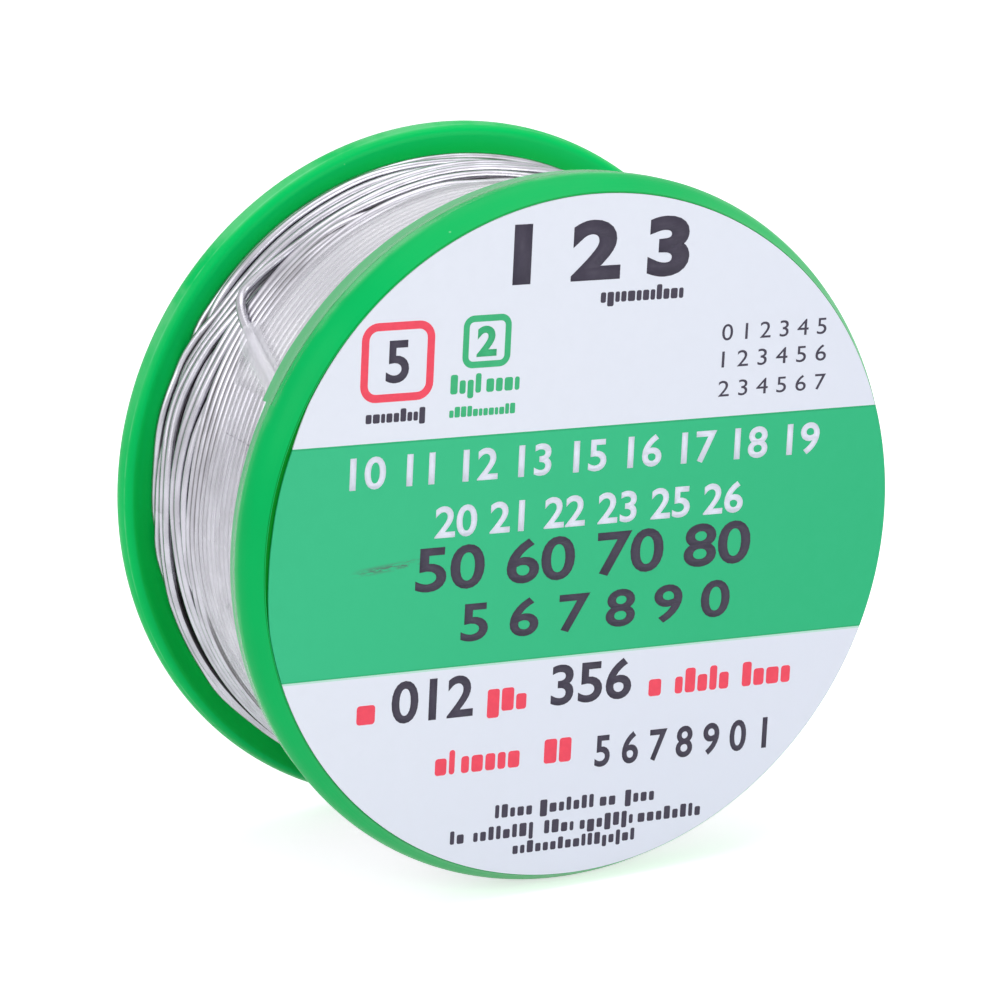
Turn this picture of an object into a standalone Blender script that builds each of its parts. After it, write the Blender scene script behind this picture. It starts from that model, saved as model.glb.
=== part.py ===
"""A small spool of solder wire, standing on its rims.

Two moulded halves plug together into the spool. The wire is wound on the barrel, a strip of
clear tape holds its loose end down, and a round paper label covers the front face.

The spool's axis runs along Y at the height of the rim's radius, and the labelled face looks
toward -Y. The origin is on the floor, under the middle of the whole length. Sizes are metres.
"""

import math

import bmesh
import bpy
import numpy
from mathutils import Vector

MM = 0.001

# The moulded spool
RIM_RADIUS = 25.0 * MM          # measured to the flats of the faceted rim
FLANGE_THICKNESS = 3.1 * MM
INNER_WIDTH = 17.5 * MM         # between the two flanges
BARREL_RADIUS = 13.6 * MM
BARREL_WALL = 1.6 * MM
SLEEVE_WALL = 1.5 * MM
SLEEVE_SETBACK = 1.0 * MM       # the sleeve's end lies this far inside the rear face
SEAT_RADIUS = 23.75 * MM        # flat outer face, inside the crowned rim
RIM_DRAFT = 1.65 * MM           # from the edge next to the winding to the widest ring
EDGE_DROP = 0.35 * MM           # how far that edge lies inside the widest ring
CROWN_BULGE = 0.15 * MM
BORE_CHAMFER = 0.4 * MM

# The snap bead that locks the sleeve in the barrel
BEAD_HEIGHT = 0.45 * MM
BEAD_TOP = 0.4 * MM
BEAD_FOOT = 1.2 * MM
BEAD_DEPTH = 2.4 * MM           # from the rear face to the middle of the bead

# The wire and its outer layer
WIRE_DIAMETER = 0.70 * MM
WINDING_RADIUS = 23.2 * MM
TURN_GAP = 0.45 * MM            # between neighbouring turns, and under the loose end
MOST_LOOPS = 24
TAIL_ANGLE = 138.0              # degrees, from +X toward +Z, where the loose end leaves
TAIL_LIFT_ANGLE = 30.0          # degrees over which it climbs on top of the turns
TAIL_BEND = 1.6 * MM
TAIL_END = 4.2 * MM             # from the front flange to the tip of the loose end

# Tape and label
TAPE_WIDTH = 9.4 * MM
TAPE_THICKNESS = 0.2 * MM
TAPE_SKIRT = 2.0 * MM           # where the tape slopes off the loose end on each side
LABEL_RADIUS = 23.9 * MM
LABEL_THICKNESS = 0.15 * MM

# Clearance between any two pieces that touch on the real spool
GAP = 0.3 * MM

# How finely round things are faceted
RIM_FACETS = 64
RING_FACETS = 48
LOOP_POINTS = 24
TAPE_FACETS = 48
CROWN_STEPS = 5
BEND_STEPS = 6
TUBE_RESOLUTION = 1             # six sides

# Values that follow from the sizes above
LENGTH = LABEL_THICKNESS + GAP + 2 * FLANGE_THICKNESS + INNER_WIDTH
LABEL_FACE = -LENGTH / 2
FRONT_FACE = LABEL_FACE + LABEL_THICKNESS + GAP
FRONT_INNER = FRONT_FACE + FLANGE_THICKNESS
REAR_INNER = FRONT_INNER + INNER_WIDTH
REAR_FACE = REAR_INNER + FLANGE_THICKNESS
SOCKET_RADIUS = BARREL_RADIUS - BARREL_WALL
SLEEVE_RADIUS = SOCKET_RADIUS - GAP
BORE_RADIUS = SLEEVE_RADIUS - SLEEVE_WALL
WIRE_RADIUS = WIRE_DIAMETER / 2
TURN_RADIUS = WINDING_RADIUS - WIRE_RADIUS
TAIL_RADIUS = TURN_RADIUS + WIRE_DIAMETER + TURN_GAP


def clear_scene():
    for old in list(bpy.data.objects):
        bpy.data.objects.remove(old, do_unlink=True)


def make_material(name, color, roughness, metallic=0.0, alpha=1.0):
    material = bpy.data.materials.new(name)
    material.use_nodes = True
    shader = material.node_tree.nodes["Principled BSDF"]
    shader.inputs["Base Color"].default_value = (*color, 1.0)
    shader.inputs["Roughness"].default_value = roughness
    shader.inputs["Metallic"].default_value = metallic
    shader.inputs["Alpha"].default_value = alpha
    material.diffuse_color = (*color, alpha)
    return material


def add_piece(name, bm, material, axis, smooth_angle=30.0):
    """Makes an object of a mesh built round the spool's axis, and hangs it on that axis."""
    bmesh.ops.recalc_face_normals(bm, faces=bm.faces)
    mesh = bpy.data.meshes.new(name)
    bm.to_mesh(mesh)
    bm.free()
    mesh.materials.append(material)
    mesh.shade_smooth()
    mesh.set_sharp_from_angle(angle=math.radians(smooth_angle))
    piece = bpy.data.objects.new(name, mesh)
    bpy.context.collection.objects.link(piece)
    piece.parent = axis
    return piece


def around(radius, degrees, y):
    """A point at a radius and an angle about the axis, counted from +X toward +Z."""
    angle = math.radians(degrees)
    return Vector((radius * math.cos(angle), y, radius * math.sin(angle)))


def turned(outline, facets):
    """A closed outline of (radius, y) turned about the axis, with a facet at the bottom.

    Each radius is measured to the middle of the facets.
    """
    half_step = 180.0 / facets
    to_corner = 1.0 / math.cos(math.radians(half_step))
    bm = bmesh.new()
    corners = [bm.verts.new(around(radius * to_corner, half_step - 90.0, y)) for radius, y in outline]
    edges = [bm.edges.new(pair) for pair in zip(corners, corners[1:] + corners[:1])]
    bmesh.ops.spin(bm, geom=corners + edges, cent=(0, 0, 0), axis=(0, 1, 0),
                   angle=2 * math.pi, steps=facets, use_merge=True)
    return bm


def flange_outline(face, inward):
    """The crowned and drafted rim of a flange, from its outer face to its inner face."""
    crown_length = FLANGE_THICKNESS - RIM_DRAFT
    rise = RIM_RADIUS - SEAT_RADIUS
    slope = math.hypot(crown_length, rise)
    points = []
    for step in range(CROWN_STEPS + 1):
        t = step / CROWN_STEPS
        bulge = CROWN_BULGE * 4 * t * (1 - t)
        radius = SEAT_RADIUS + rise * t + bulge * crown_length / slope
        depth = crown_length * t - bulge * rise / slope
        points.append((radius, face + inward * depth))
    points.append((RIM_RADIUS - EDGE_DROP, face + inward * FLANGE_THICKNESS))
    return points


def front_half(axis, plastic):
    """Labelled flange with the sleeve that plugs into the rear half's barrel."""
    bead_middle = REAR_FACE - BEAD_DEPTH
    sleeve_end = REAR_FACE - SLEEVE_SETBACK
    outline = flange_outline(FRONT_FACE, 1)
    outline += [
        (SLEEVE_RADIUS, FRONT_INNER),
        (SLEEVE_RADIUS, bead_middle - BEAD_FOOT / 2),
        (SLEEVE_RADIUS + BEAD_HEIGHT, bead_middle - BEAD_TOP / 2),
        (SLEEVE_RADIUS + BEAD_HEIGHT, bead_middle + BEAD_TOP / 2),
        (SLEEVE_RADIUS, bead_middle + BEAD_FOOT / 2),
        (SLEEVE_RADIUS, sleeve_end),
        (BORE_RADIUS, sleeve_end),
        (BORE_RADIUS, FRONT_FACE + BORE_CHAMFER),
        (BORE_RADIUS + BORE_CHAMFER, FRONT_FACE),
    ]
    return add_piece("front_spool_half", turned(outline, RIM_FACETS), plastic, axis)


def rear_half(axis, plastic):
    """Plain flange with the barrel that the wire is wound on, and the groove for the bead."""
    groove_middle = REAR_FACE - BEAD_DEPTH
    barrel_end = FRONT_INNER + GAP
    outline = flange_outline(REAR_FACE, -1)
    outline += [
        (BARREL_RADIUS, REAR_INNER),
        (BARREL_RADIUS, barrel_end),
        (SOCKET_RADIUS, barrel_end),
        (SOCKET_RADIUS, groove_middle - BEAD_FOOT / 2 - GAP),
        (SOCKET_RADIUS + BEAD_HEIGHT, groove_middle - BEAD_TOP / 2 - GAP),
        (SOCKET_RADIUS + BEAD_HEIGHT, groove_middle + BEAD_TOP / 2 + GAP),
        (SOCKET_RADIUS, groove_middle + BEAD_FOOT / 2 + GAP),
        (SOCKET_RADIUS, REAR_FACE - BORE_CHAMFER),
        (SOCKET_RADIUS + BORE_CHAMFER, REAR_FACE),
    ]
    return add_piece("rear_spool_half", turned(outline, RIM_FACETS), plastic, axis)


def buried_layers(axis, metal):
    """The wire under the outer layer, as one plain ring that the outer turns lie on."""
    chord_dip = TURN_RADIUS * (1 - math.cos(math.pi / LOOP_POINTS))
    corner_radius = TURN_RADIUS - chord_dip - WIRE_RADIUS - GAP
    outer = corner_radius * math.cos(math.pi / RING_FACETS)
    inner = BARREL_RADIUS / math.cos(math.pi / RIM_FACETS) + GAP
    front = FRONT_INNER + GAP
    rear = REAR_INNER - GAP
    outline = [(inner, front), (outer, front), (outer, rear), (inner, rear)]
    return add_piece("solder_wire_buried_layers", turned(outline, RING_FACETS), metal, axis)


def winding_route():
    """The outer layer from the front flange to the rear, then the loose end back over it."""
    first = FRONT_INNER + GAP + WIRE_RADIUS
    last = REAR_INNER - GAP - WIRE_RADIUS
    loops = min(MOST_LOOPS, int((last - first) / (WIRE_DIAMETER + TURN_GAP)))
    bend_angle = math.degrees(TAIL_BEND / TAIL_RADIUS)
    step = 360.0 / LOOP_POINTS
    route = []
    for index in range(loops * LOOP_POINTS + 1):
        to_go = (loops * LOOP_POINTS - index) * step
        y = first + (last - first) * index / (loops * LOOP_POINTS)
        climb = max(0.0, 1.0 - to_go / TAIL_LIFT_ANGLE)
        radius = TURN_RADIUS + (TAIL_RADIUS - TURN_RADIUS) * climb
        route.append(around(radius, TAIL_ANGLE - to_go, y))
    for index in range(1, BEND_STEPS + 1):
        turn = math.pi / 2 * index / BEND_STEPS
        angle = TAIL_ANGLE + bend_angle * math.sin(turn)
        route.append(around(TAIL_RADIUS, angle, last - TAIL_BEND * (1 - math.cos(turn))))
    tail_start = last - TAIL_BEND
    tail_tip = FRONT_INNER + TAIL_END
    pieces = max(2, math.ceil((tail_start - tail_tip) / (2 * WIRE_DIAMETER)))
    for index in range(1, pieces + 1):
        y = tail_start + (tail_tip - tail_start) * index / pieces
        route.append(around(TAIL_RADIUS, TAIL_ANGLE + bend_angle, y))
    return route


def least_gap(route, diameter, apart):
    """The smallest free space between stretches of a tube that lie further apart along it."""
    points = []
    travelled = []
    length = 0.0
    for start, end in zip(route, route[1:]):
        pieces = max(1, math.ceil((end - start).length / (diameter / 2)))
        for index in range(pieces):
            points.append(start.lerp(end, index / pieces))
            travelled.append(length + (end - start).length * index / pieces)
        length += (end - start).length
    points = numpy.array(points)
    travelled = numpy.array(travelled)
    least = math.inf
    for point, here in zip(points, travelled):
        others = points[travelled > here + apart]
        if len(others):
            least = min(least, ((others - point) ** 2).sum(axis=1).min())
    return math.sqrt(least) - diameter


def outer_layer(axis, metal):
    """One unbroken tube: the outer turns and the loose end bent over them."""
    route = winding_route()
    curve = bpy.data.curves.new("solder_wire_outer_turns", "CURVE")
    curve.dimensions = "3D"
    curve.bevel_depth = WIRE_RADIUS
    curve.bevel_resolution = TUBE_RESOLUTION
    curve.use_fill_caps = True
    curve.materials.append(metal)
    spline = curve.splines.new("POLY")
    spline.points.add(len(route) - 1)
    for point, place in zip(spline.points, route):
        point.co = (*place, 1.0)
    piece = bpy.data.objects.new("solder_wire_outer_turns", curve)
    bpy.context.collection.objects.link(piece)
    piece.parent = axis
    free = least_gap(route, WIRE_DIAMETER, 3 * TAIL_BEND)
    print(f"least gap of the wire to itself: {free / MM:.2f} mm")
    return piece


def holding_tape(axis, film):
    """A strip of tape all the way round, lifted where it passes over the loose end."""
    tail_angle = TAIL_ANGLE + math.degrees(TAIL_BEND / TAIL_RADIUS)
    low = WINDING_RADIUS + GAP
    high = TAIL_RADIUS + WIRE_RADIUS + GAP
    top_angle = math.degrees((WIRE_RADIUS + GAP) / high)
    skirt_angle = math.degrees(TAPE_SKIRT / high)
    foot_angle = top_angle + skirt_angle
    front = FRONT_INNER + GAP
    tip = FRONT_INNER + TAIL_END
    tent_angles = [-foot_angle, -top_angle, 0.0, top_angle, foot_angle]
    rest = 360.0 - 2 * foot_angle
    steps = round(TAPE_FACETS * rest / 360.0)
    plain_angles = [foot_angle + rest * index / steps for index in range(1, steps)]
    to_corner = 1.0 / math.cos(math.radians(rest / steps / 2))
    rear = front + TAPE_WIDTH
    rows = [front, tip - GAP - TAPE_SKIRT, tip - GAP, rear]
    rows = sorted({min(max(front, row), rear) for row in rows})
    bm = bmesh.new()
    sections = []
    for offset in tent_angles + plain_angles:
        on_tail = abs(offset) <= top_angle + 0.001
        heights = [high if on_tail and row >= tip - GAP - 0.01 * MM else low for row in rows]
        inner = [(height, row) for height, row in zip(heights, rows)]
        outer = [(height + TAPE_THICKNESS, row) for height, row in reversed(inner)]
        angle = tail_angle + offset
        sections.append([bm.verts.new(around(r * to_corner, angle, y)) for r, y in inner + outer])
    for here, there in zip(sections, sections[1:] + sections[:1]):
        for index in range(len(here)):
            after = (index + 1) % len(here)
            bm.faces.new((here[index], here[after], there[after], there[index]))
    return add_piece("holding_tape", bm, film, axis)


def front_label(axis, paper):
    """Round paper label in front of the whole front face."""
    half_step = math.radians(180.0 / RIM_FACETS)
    corner_radius = LABEL_RADIUS / math.cos(half_step)
    bm = bmesh.new()
    bmesh.ops.create_cone(bm, cap_ends=True, segments=RIM_FACETS, radius1=corner_radius,
                          radius2=corner_radius, depth=LABEL_THICKNESS)
    label = add_piece("front_label", bm, paper, axis)
    label.rotation_euler = (math.radians(90), half_step, 0)
    label.location = (0, LABEL_FACE + LABEL_THICKNESS / 2, 0)
    return label


def build():
    clear_scene()
    axis = bpy.data.objects.new("spool_axis", None)
    axis.location = (0, 0, RIM_RADIUS)
    bpy.context.collection.objects.link(axis)
    front_half(axis, make_material("green_plastic_front", (0.0, 0.42, 0.12), 0.28))
    rear_half(axis, make_material("green_plastic_rear", (0.0, 0.42, 0.12), 0.28))
    buried_layers(axis, make_material("solder_buried", (0.62, 0.61, 0.64), 0.32, metallic=1.0))
    outer_layer(axis, make_material("solder", (0.74, 0.73, 0.77), 0.25, metallic=1.0))
    holding_tape(axis, make_material("clear_film", (0.86, 0.86, 0.90), 0.18, alpha=0.35))
    front_label(axis, make_material("label_paper", (0.80, 0.83, 0.90), 0.45))


build()
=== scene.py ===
import math
import random

import bmesh
import bpy
import numpy as np
from mathutils import Matrix, Vector


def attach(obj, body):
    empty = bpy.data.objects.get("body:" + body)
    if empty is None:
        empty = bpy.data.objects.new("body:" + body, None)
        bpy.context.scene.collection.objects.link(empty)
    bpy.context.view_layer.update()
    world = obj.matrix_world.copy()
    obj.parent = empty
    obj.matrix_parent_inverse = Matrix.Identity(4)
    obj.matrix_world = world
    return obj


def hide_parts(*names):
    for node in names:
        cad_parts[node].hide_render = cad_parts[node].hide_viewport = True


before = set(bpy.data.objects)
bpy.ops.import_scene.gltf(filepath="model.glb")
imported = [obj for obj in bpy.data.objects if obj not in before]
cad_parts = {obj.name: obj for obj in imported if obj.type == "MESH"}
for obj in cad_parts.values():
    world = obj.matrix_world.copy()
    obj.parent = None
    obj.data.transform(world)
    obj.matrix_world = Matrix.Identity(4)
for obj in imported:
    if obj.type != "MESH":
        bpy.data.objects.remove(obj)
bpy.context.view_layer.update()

# A small spool of solder wire: two green mouldings, the winding, clear tape and a paper label.
# The spool's axis runs along Y at AXIS above the floor, and the labelled face looks toward -Y.
# Angles about the axis are in degrees, counted from +X toward +Z. Sizes are metres, but the
# tables of outlines and of print are in millimetres.
MM = 0.001
AXIS = 25.0 * MM
LABEL_FACE = -12.072 * MM
LABEL_BACK = -11.95 * MM
FRONT_INNER = -8.525 * MM
REAR_INNER = 8.975 * MM
LABEL_RADIUS = 23.95 * MM
WIRE = 0.70 * MM
TOP_LAYER = 22.85 * MM          # from the axis to the middle of the wire in the outer layer
LOWER_LAYER = TOP_LAYER - 0.61 * MM
ROUND = 240                     # facets of a turned moulding


# ---------------------------------------------------------------- materials

def linear(red, green, blue):
    """A screen colour of 0 to 255 as the shader wants it."""
    parts = [c / 255.0 for c in (red, green, blue)]
    straight = [c / 12.92 if c <= 0.04045 else ((c + 0.055) / 1.055) ** 2.4 for c in parts]
    return (*straight, 1.0)


def scaled(color, share):
    """A colour with its red, green and blue multiplied by a share."""
    return tuple(share * c for c in color[:3]) + (1.0,)


def add_node(tree, kind, *inputs, **settings):
    """Adds a node with its settings, and feeds its first inputs with numbers or other outputs."""
    node = tree.nodes.new(kind)
    for name, value in settings.items():
        setattr(node, name, value)
    for socket, value in zip(node.inputs, inputs):
        feed(tree, socket, value)
    return node


def feed(tree, socket, value):
    if hasattr(value, "is_output"):
        tree.links.new(value, socket)
    else:
        socket.default_value = value


class Finish:
    """A material and short ways to add its nodes."""

    def __init__(self, name):
        self.material = bpy.data.materials.new(name)
        self.material.use_nodes = True
        self.tree = self.material.node_tree
        self.shader = self.tree.nodes["Principled BSDF"]
        coords = self.tree.nodes.new("ShaderNodeTexCoord")
        centre = self.tree.nodes.new("ShaderNodeMapping")
        centre.inputs["Location"].default_value = (0.0, 0.0, -AXIS)
        self.tree.links.new(coords.outputs["Object"], centre.inputs["Vector"])
        self.place = centre.outputs["Vector"]
        self.axes = None

    def set(self, **values):
        for name, value in values.items():
            feed(self.tree, self.shader.inputs[name.replace("_", " ")], value)

    def math(self, how, *values, clamp=False):
        node = add_node(self.tree, "ShaderNodeMath", *values, operation=how, use_clamp=clamp)
        return node.outputs[0]

    def times(self, first, *others):
        """The product of two or more numbers or outputs."""
        for other in others:
            first = self.math("MULTIPLY", first, other)
        return first

    def split(self):
        """X, Y and Z about the spool's axis, and the distance from the axis."""
        if self.axes is None:
            x, y, z = add_node(self.tree, "ShaderNodeSeparateXYZ", self.place).outputs
            squares = self.math("ADD", self.times(x, x), self.times(z, z))
            self.axes = (x, y, z, self.math("SQRT", squares))
        return self.axes

    def turn(self):
        """The angle about the spool's axis, in radians."""
        x, _, z, _ = self.split()
        return self.math("ARCTAN2", z, x)

    def joined(self, x, y, z):
        return add_node(self.tree, "ShaderNodeCombineXYZ", x, y, z).outputs[0]

    def wound(self, along, across):
        """Coordinates that follow the winding: round the axis, along the axis, outwards."""
        _, y, _, radius = self.split()
        return self.joined(self.times(self.turn(), along), self.times(y, across),
                           self.times(radius, across))

    def levelled(self, along, across):
        """Coordinates for streaks that run level across the label."""
        x, y, z, _ = self.split()
        return self.joined(self.times(x, along), self.times(y, along), self.times(z, across))

    def noise(self, scale, detail=3.0, rough=0.55, vector=None):
        node = self.tree.nodes.new("ShaderNodeTexNoise")
        feed(self.tree, node.inputs["Vector"], self.place if vector is None else vector)
        node.inputs["Scale"].default_value = scale
        node.inputs["Detail"].default_value = detail
        node.inputs["Roughness"].default_value = rough
        return node.outputs["Fac"]

    def specks(self, scale):
        node = self.tree.nodes.new("ShaderNodeTexVoronoi")
        feed(self.tree, node.inputs["Vector"], self.place)
        node.inputs["Scale"].default_value = scale
        return node.outputs["Distance"]

    def span(self, value, low, high, out_low=0.0, out_high=1.0):
        """A smooth step from out_low to out_high, as a value goes from low to high."""
        node = add_node(self.tree, "ShaderNodeMapRange", value, low, high, out_low, out_high,
                        interpolation_type="SMOOTHSTEP")
        return node.outputs["Result"]

    def between(self, value, low, high, soft):
        """One inside a range, falling to nought over a soft edge on both sides."""
        rise = self.span(value, low - soft, low + soft)
        fall = self.span(value, high - soft, high + soft, 1.0, 0.0)
        return self.times(rise, fall)

    def sector(self, low, high, soft):
        """One between two angles in degrees; the soft edge is in radians."""
        return self.between(self.turn(), math.radians(low), math.radians(high), soft)

    def mix(self, amount, first, second):
        """A colour between two others, by amount."""
        node = self.tree.nodes.new("ShaderNodeMix")
        node.data_type = "RGBA"
        for index, value in ((0, amount), (6, first), (7, second)):
            feed(self.tree, node.inputs[index], value)
        return node.outputs[2]

    def blend(self, amount, first, second):
        """A number between two others, by amount."""
        return self.math("MULTIPLY_ADD", self.math("SUBTRACT", second, first), amount, first)

    def bumped(self, height, depth):
        """Gives the shader a bump of some depth for a height of one, and returns the material."""
        node = self.tree.nodes.new("ShaderNodeBump")
        node.inputs["Strength"].default_value = 1.0
        node.inputs["Distance"].default_value = depth
        feed(self.tree, node.inputs["Height"], height)
        feed(self.tree, self.shader.inputs["Normal"], node.outputs["Normal"])
        return self.material


def green_plastic(name, inner_face, outwards, fresh, deep):
    """Glossy moulded plastic, whitened and nicked along the rim's edge, with painted shade and
    highlight.
    """
    f = Finish(name)
    x, y, z, radius = f.split()
    depth = f.times(f.math("SUBTRACT", y, inner_face), outwards)    # from inner to outer face
    color = f.mix(f.span(f.noise(90.0, 2.0), 0.3, 0.7), fresh, scaled(fresh, 0.94))

    # Painted shade: the inner face goes toward the deep colour at the lower left and toward the
    # winding.
    wall = f.span(depth, 0.02 * MM, 0.10 * MM, 1.0, 0.0)
    low_left = f.span(f.math("MULTIPLY_ADD", x, 0.5, z), 0.012, -0.020)
    inwards = f.span(radius, 24.5 * MM, 23.1 * MM)
    shade = f.times(wall, f.math("MAXIMUM", low_left, f.times(inwards, 0.7)))
    rings = f.noise(1.0, 3.0, 0.6, f.wound(0.3, 3400.0))
    shade = f.math("MULTIPLY", shade, f.math("MULTIPLY_ADD", rings, 0.5, 0.65), clamp=True)
    color = f.mix(shade, color, deep)

    # The crown of the rim is rubbed pale in patches, and the paling is strongest at the upper left
    # as a painted highlight.
    upper_left = f.span(f.math("MULTIPLY_ADD", x, -0.4, z), 0.012, 0.024)
    rim = f.times(f.between(depth, 0.35 * MM, 1.45 * MM, 0.30 * MM),
                  f.span(radius, 24.72 * MM, 24.90 * MM))
    patches = f.span(f.noise(130.0, 4.0, 0.6), 0.44, 0.62)
    wear_and_highlight = f.times(rim, patches, f.math("MULTIPLY_ADD", upper_left, 0.30, 0.04))
    color = f.mix(wear_and_highlight, color, linear(150, 226, 172))

    # A broken pale line runs round the crown, and painted shade lies where the label ends.
    border = f.times(f.between(depth, 0.52 * MM, 0.60 * MM, 0.06 * MM),
                     f.span(radius, 24.7 * MM, 24.8 * MM))
    broken = f.span(f.noise(1.0, 3.0, 0.6, f.wound(9.0, 60.0)), 0.36, 0.62, 0.05, 0.36)
    color = f.mix(f.times(border, broken), color, linear(140, 235, 175))
    shade_at_label_edge = f.times(f.between(depth, 3.38 * MM, 3.43 * MM, 0.01 * MM),
                     f.span(radius, 22.8 * MM, 23.0 * MM))
    color = f.mix(shade_at_label_edge, color, linear(0, 132, 30))

    # Flash stands on the rim's inner corner, and nicks are strewn over the whole.
    corner = f.times(f.between(depth, -0.02 * MM, 0.07 * MM, 0.04 * MM),
                     f.between(radius, 24.60 * MM, 24.72 * MM, 0.04 * MM))
    flash = f.times(corner, f.span(f.noise(420.0, 5.0, 0.75), 0.52, 0.60))
    color = f.mix(f.times(flash, 0.34), color, linear(150, 225, 160))
    nicks = f.times(f.span(f.specks(420.0), 0.02, 0.045, 1.0, 0.0),
                    f.span(f.noise(260.0, 2.0), 0.52, 0.60))
    color = f.mix(f.times(nicks, 0.45), color, linear(150, 225, 175))

    turning = f.noise(1.0, 2.0, vector=f.wound(0.4, 5200.0))
    height = f.math("MULTIPLY_ADD", turning, 0.6, f.times(f.noise(2600.0, 2.0), 0.25))
    height = f.math("ADD", height, f.times(flash, 1.2))
    rough = f.math("MULTIPLY_ADD", f.noise(500.0, 4.0), 0.16, 0.24)
    rough = f.math("ADD", rough, f.times(rim, 0.12))
    f.set(Base_Color=color, Roughness=rough, IOR=1.45, Specular_IOR_Level=0.09, Sheen_Weight=0.15,
          Sheen_Roughness=0.25)
    return f.bumped(height, 0.018 * MM)


TIN = (0.51, 0.50, 0.55)
DULL_TIN = (0.40, 0.39, 0.43)
TIN_PAINTED_LIGHT_UNDER_FILM = (0.95, 0.94, 0.99, 1.0)
GAP_SHADE = (0.055, 0.047, 0.045, 1.0)
DOUBLE_FILM = (-47.0, 151.5)    # the angles between which two laps of the tape lie on the wire


def solder(name, shade, gap_shade=0.0, reach=0.22):
    """Bright drawn tin wire with fine lines along it, painted shade where it meets the next turn.

    Reach is the gap to the next turn, in millimetres, at which the painted shade ends.
    """
    f = Finish(name)
    lines = f.noise(1.0, 3.0, 0.6, f.wound(2.4, 6500.0))
    breath = f.noise(1.0, 2.0, 0.5, f.wound(9.0, 700.0))
    color = f.mix(f.span(breath, 0.35, 0.7), scaled(TIN, shade), scaled(DULL_TIN, shade))
    if gap_shade:
        _, y, _, _ = f.split()
        # Painted light: under the tape, and most under its two laps, the wire is made paler.
        taped = f.span(y, 0.6 * MM, -0.2 * MM)
        twice = f.times(taped, f.sector(*DOUBLE_FILM, 0.03))
        painted_light_under_film = f.math("MULTIPLY_ADD", twice, 0.80, f.times(taped, 0.08))
        color = f.mix(painted_light_under_film, color, TIN_PAINTED_LIGHT_UNDER_FILM)
        # Painted shade, by the gap attribute: dark where a turn meets the next and in hollows, less
        # under the tape.
        gap = f.tree.nodes.new("ShaderNodeAttribute")
        gap.attribute_name = "gap"
        most = f.times(f.blend(taped, 1.0, 0.45), gap_shade)
        seam_shade = f.span(gap.outputs["Fac"], 0.04, reach, most, 0.0)
        color = f.mix(seam_shade, color, GAP_SHADE)
    f.set(Base_Color=color, Metallic=1.0, Roughness=f.math("MULTIPLY_ADD", lines, 0.16, 0.20))
    return f.bumped(lines, 0.010 * MM)


FILM_PITCH = 0.7008 * MM        # of the turns that show through the film
FILM_CREST = -7.931 * MM        # where one of them is


def clear_film():
    """Hazy adhesive film; the turns under it show through as soft lines."""
    f = Finish("clear_film")
    _, y, _, radius = f.split()
    haze = f.noise(1.0, 3.0, 0.5, f.wound(2.0, 160.0))
    creases = f.noise(1.0, 3.0, 0.6, f.wound(5.0, 300.0))
    color = f.mix(f.span(haze, 0.35, 0.65), linear(252, 251, 255), linear(244, 242, 250))
    alpha = f.math("MULTIPLY_ADD", f.span(haze, 0.3, 0.7), 0.05, 0.10)    # of each of its two faces

    # It is tinted green where it climbs to the front rim, as a painted reflection of the rim, white
    # where the loose end holds it off the turns, and clear on the rim, but for two broken pale
    # lines, painted highlights along its edges.
    front = f.span(y, -6.72 * MM, -6.95 * MM)
    climbing = f.times(f.span(radius, 23.40 * MM, 23.70 * MM), front)
    lifted = f.times(f.span(radius, 23.38 * MM, 23.62 * MM), f.math("SUBTRACT", 1.0, front))
    on_rim = f.span(y, -9.18 * MM, -9.28 * MM)
    edges = f.math("MAXIMUM", f.between(y, -9.86 * MM, -9.77 * MM, 0.03 * MM),
                   f.between(y, -8.78 * MM, -8.71 * MM, 0.03 * MM))
    edges = f.times(edges, f.span(creases, 0.35, 0.60, 0.35, 1.0))
    # Painted reflection of the green rim, then painted highlights along the film's two edges.
    color = f.mix(climbing, color, linear(98, 214, 140))
    color = f.mix(edges, color, linear(185, 240, 205))
    alpha = f.blend(lifted, alpha, 0.36)
    alpha = f.blend(climbing, alpha, 0.62)
    alpha = f.blend(on_rim, alpha, f.math("MULTIPLY_ADD", edges, 0.22, 0.07))

    # A fold and a short crease run across it, darkened as painted shade.
    fold = f.times(f.sector(160.75, 160.95, 0.0016), f.between(y, -5.0 * MM, -0.9 * MM, 0.3 * MM))
    crease = f.times(f.sector(-169.7, -169.4, 0.0016),
                     f.between(y, -3.0 * MM, -2.5 * MM, 0.1 * MM))
    fold_shade = f.times(f.math("MAXIMUM", fold, crease), f.span(f.noise(2200.0, 3.0), 0.35, 0.55))
    color = f.mix(fold_shade, color, linear(96, 92, 104))
    alpha = f.blend(fold_shade, alpha, 0.35)

    f.set(Base_Color=color, Roughness=0.26, IOR=1.45, Specular_IOR_Level=0.9, Alpha=alpha)
    turns = f.math("COSINE", f.times(f.math("SUBTRACT", y, FILM_CREST), 2 * math.pi / FILM_PITCH))
    return f.bumped(f.math("MULTIPLY_ADD", turns, 0.22, f.times(haze, 0.8)), 0.02 * MM)


def coated_paper(name, plain, shaded):
    """Smooth printed paper with a faint tooth, shaded toward the lower right, and one scuff."""
    f = Finish(name)
    x, _, z, _ = f.split()
    mottle = f.noise(900.0, 4.0, 0.6)
    color = f.mix(f.span(f.math("SUBTRACT", x, z), -0.026, 0.030), plain, shaded)
    color = f.mix(f.times(f.span(mottle, 0.35, 0.75), 0.25), color, scaled(plain, 0.95))
    scuff = f.times(f.between(x, -17.0 * MM, -12.6 * MM, 1.1 * MM),
                    f.between(f.math("MULTIPLY_ADD", x, -0.05, z), 0.55 * MM, 0.95 * MM, 0.2 * MM))
    streaks = f.noise(1.0, 5.0, 0.75, f.levelled(500.0, 2600.0))
    scuff = f.times(scuff, f.span(streaks, 0.46, 0.52, 0.0, 0.85))
    color = f.mix(scuff, color, linear(82, 112, 100))
    rough = f.math("MULTIPLY_ADD", mottle, 0.12, 0.42)
    f.set(Base_Color=color, Roughness=rough, Specular_IOR_Level=0.25)
    return f.bumped(mottle, 0.012 * MM)


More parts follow.
